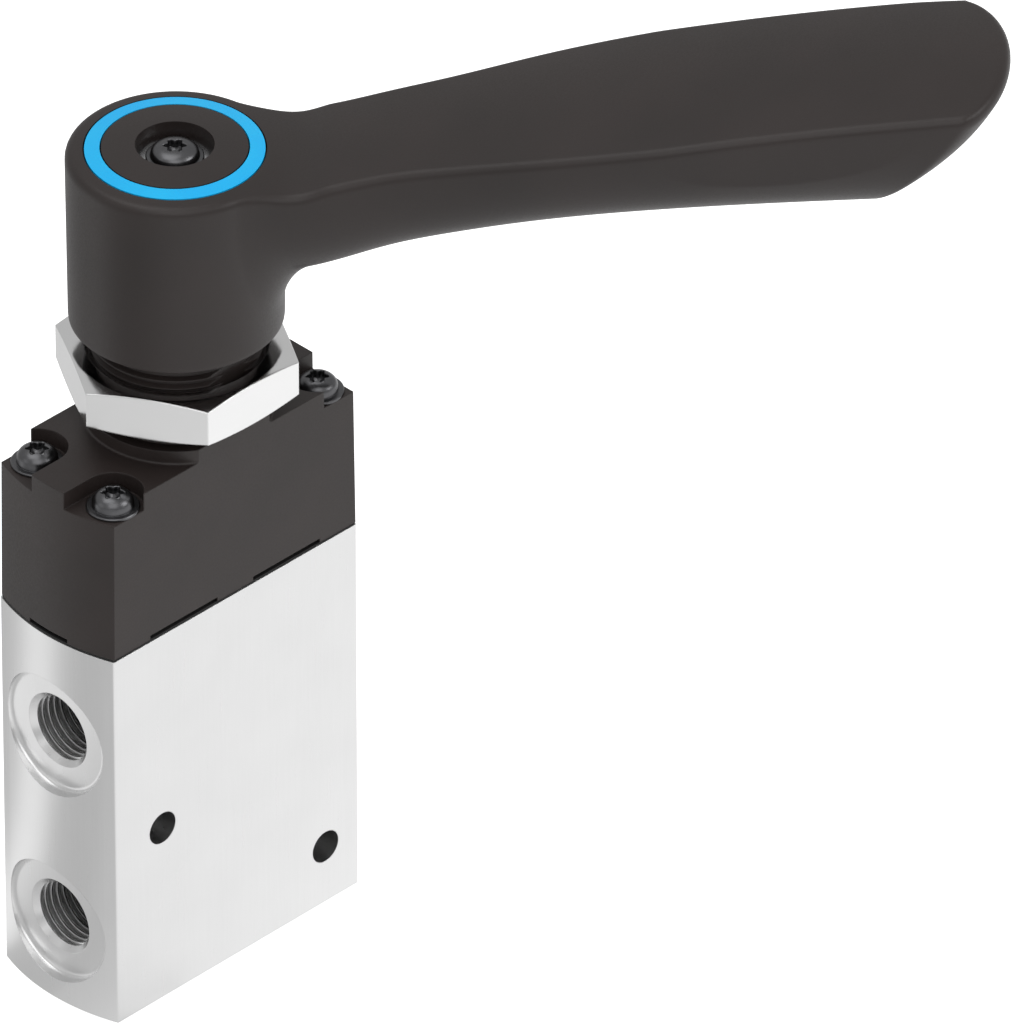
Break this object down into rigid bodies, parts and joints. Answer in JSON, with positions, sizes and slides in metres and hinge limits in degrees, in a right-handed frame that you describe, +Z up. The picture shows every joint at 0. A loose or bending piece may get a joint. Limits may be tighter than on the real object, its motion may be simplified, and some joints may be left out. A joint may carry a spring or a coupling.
{
  "type": "hand lever air valve",
  "caption": "Compact hand-operated spool valve with a swivelling lever on a threaded panel neck, a plastic cover, an aluminium body and threaded air ports.",
  "frame": {"origin": "centre of the body's flat bottom face", "axes": "+Z up along the spindle, X along the body's long direction with the single outlet port on +X, Y across the body's width"},
  "size_m": [0.1311, 0.1189, 0.171],
  "materials": {
    "satin_aluminium": "fine satin, anodised natural",
    "black_cover_plastic": "moulded, satin",
    "black_lever_plastic": "moulded, satin",
    "azure_plastic": "smooth",
    "bright_nickel": "polished nickel plate",
    "dark_screw_steel": "burnished",
    "bright_steel": "ground",
    "sintered_bronze": "sintered bronze, matt",
    "black_rubber": "matt",
    "white_acetal": "machined acetal"
  },
  "bodies": {
    "valve": {"valve_body": "satin_aluminium", "cover_gasket": "black_rubber", "cover": "black_cover_plastic", "cover_screws": "dark_screw_steel", "panel_nut": "bright_nickel", "guide_sleeve": "sintered_bronze", "thrust_ring": "white_acetal", "spindle_bush": "sintered_bronze", "bottom_spacer": "white_acetal", "spool_guide": "white_acetal", "bottom_spool_seal": "black_rubber", "lower_spool_seal": "black_rubber", "upper_spool_seal": "black_rubber", "top_spool_seal": "black_rubber", "inlet_cage": "white_acetal", "outlet_cage": "white_acetal", "exhaust_cage": "white_acetal"},
    "lever": {"lever": "black_lever_plastic", "lever_insert": "bright_steel", "colour_ring": "azure_plastic", "lever_washer": "bright_steel", "lever_screw": "dark_screw_steel", "spindle": "bright_steel", "spindle_seal": "black_rubber"},
    "spool": {"spool": "bright_steel", "cross_pin": "bright_steel"}
  },
  "joints": [
    {"name": "lever_turn", "type": "hinge", "parent": "valve", "child": "lever", "pos_m": [0, 0, 0.12], "axis": [0, 0, 1], "range_deg": [0, 90]},
    {"name": "spool_travel", "type": "slide", "parent": "valve", "child": "spool", "axis": [0, 0, -1], "range_m": [0, 0.004]}
  ],
  "couplings": [
    {"joint": "spool_travel", "follows": "lever_turn", "m_per_rad": 0.0025465}
  ]
}
